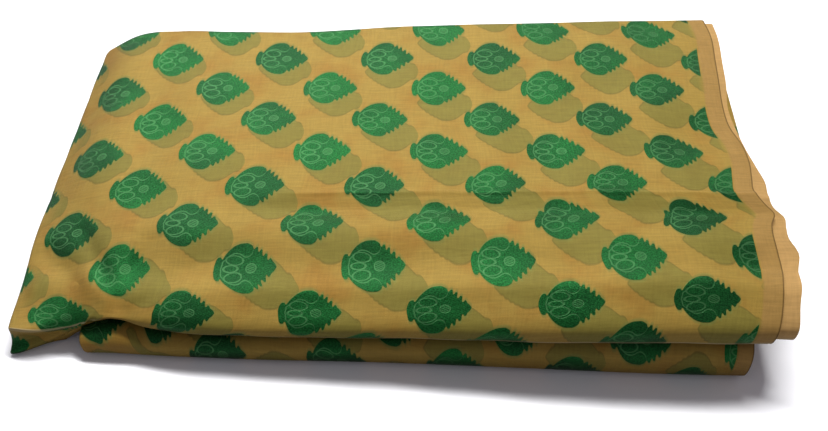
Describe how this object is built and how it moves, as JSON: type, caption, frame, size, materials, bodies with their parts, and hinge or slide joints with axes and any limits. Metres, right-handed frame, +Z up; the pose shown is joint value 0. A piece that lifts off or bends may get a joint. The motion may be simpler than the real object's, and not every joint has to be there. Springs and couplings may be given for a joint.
{
  "type": "folded length of brocade dress cloth",
  "caption": "Length of gold brocade with woven green leaf-bud motifs, doubled across its width and folded back and forth into a soft flat packet.",
  "frame": {"origin": "middle of the packet's box, on the surface that it lies on", "axes": "+X along the packet from the doubling fold to the selvedges, +Y from the rounded front noses to the back folds, +Z up"},
  "size_m": [0.5643, 0.3507, 0.0751],
  "materials": {
    "brocade": "soft sheen, gold ground with green woven motifs"
  },
  "bodies": {
    "root": {"folded_cloth": "brocade"}
  },
  "joints": []
}
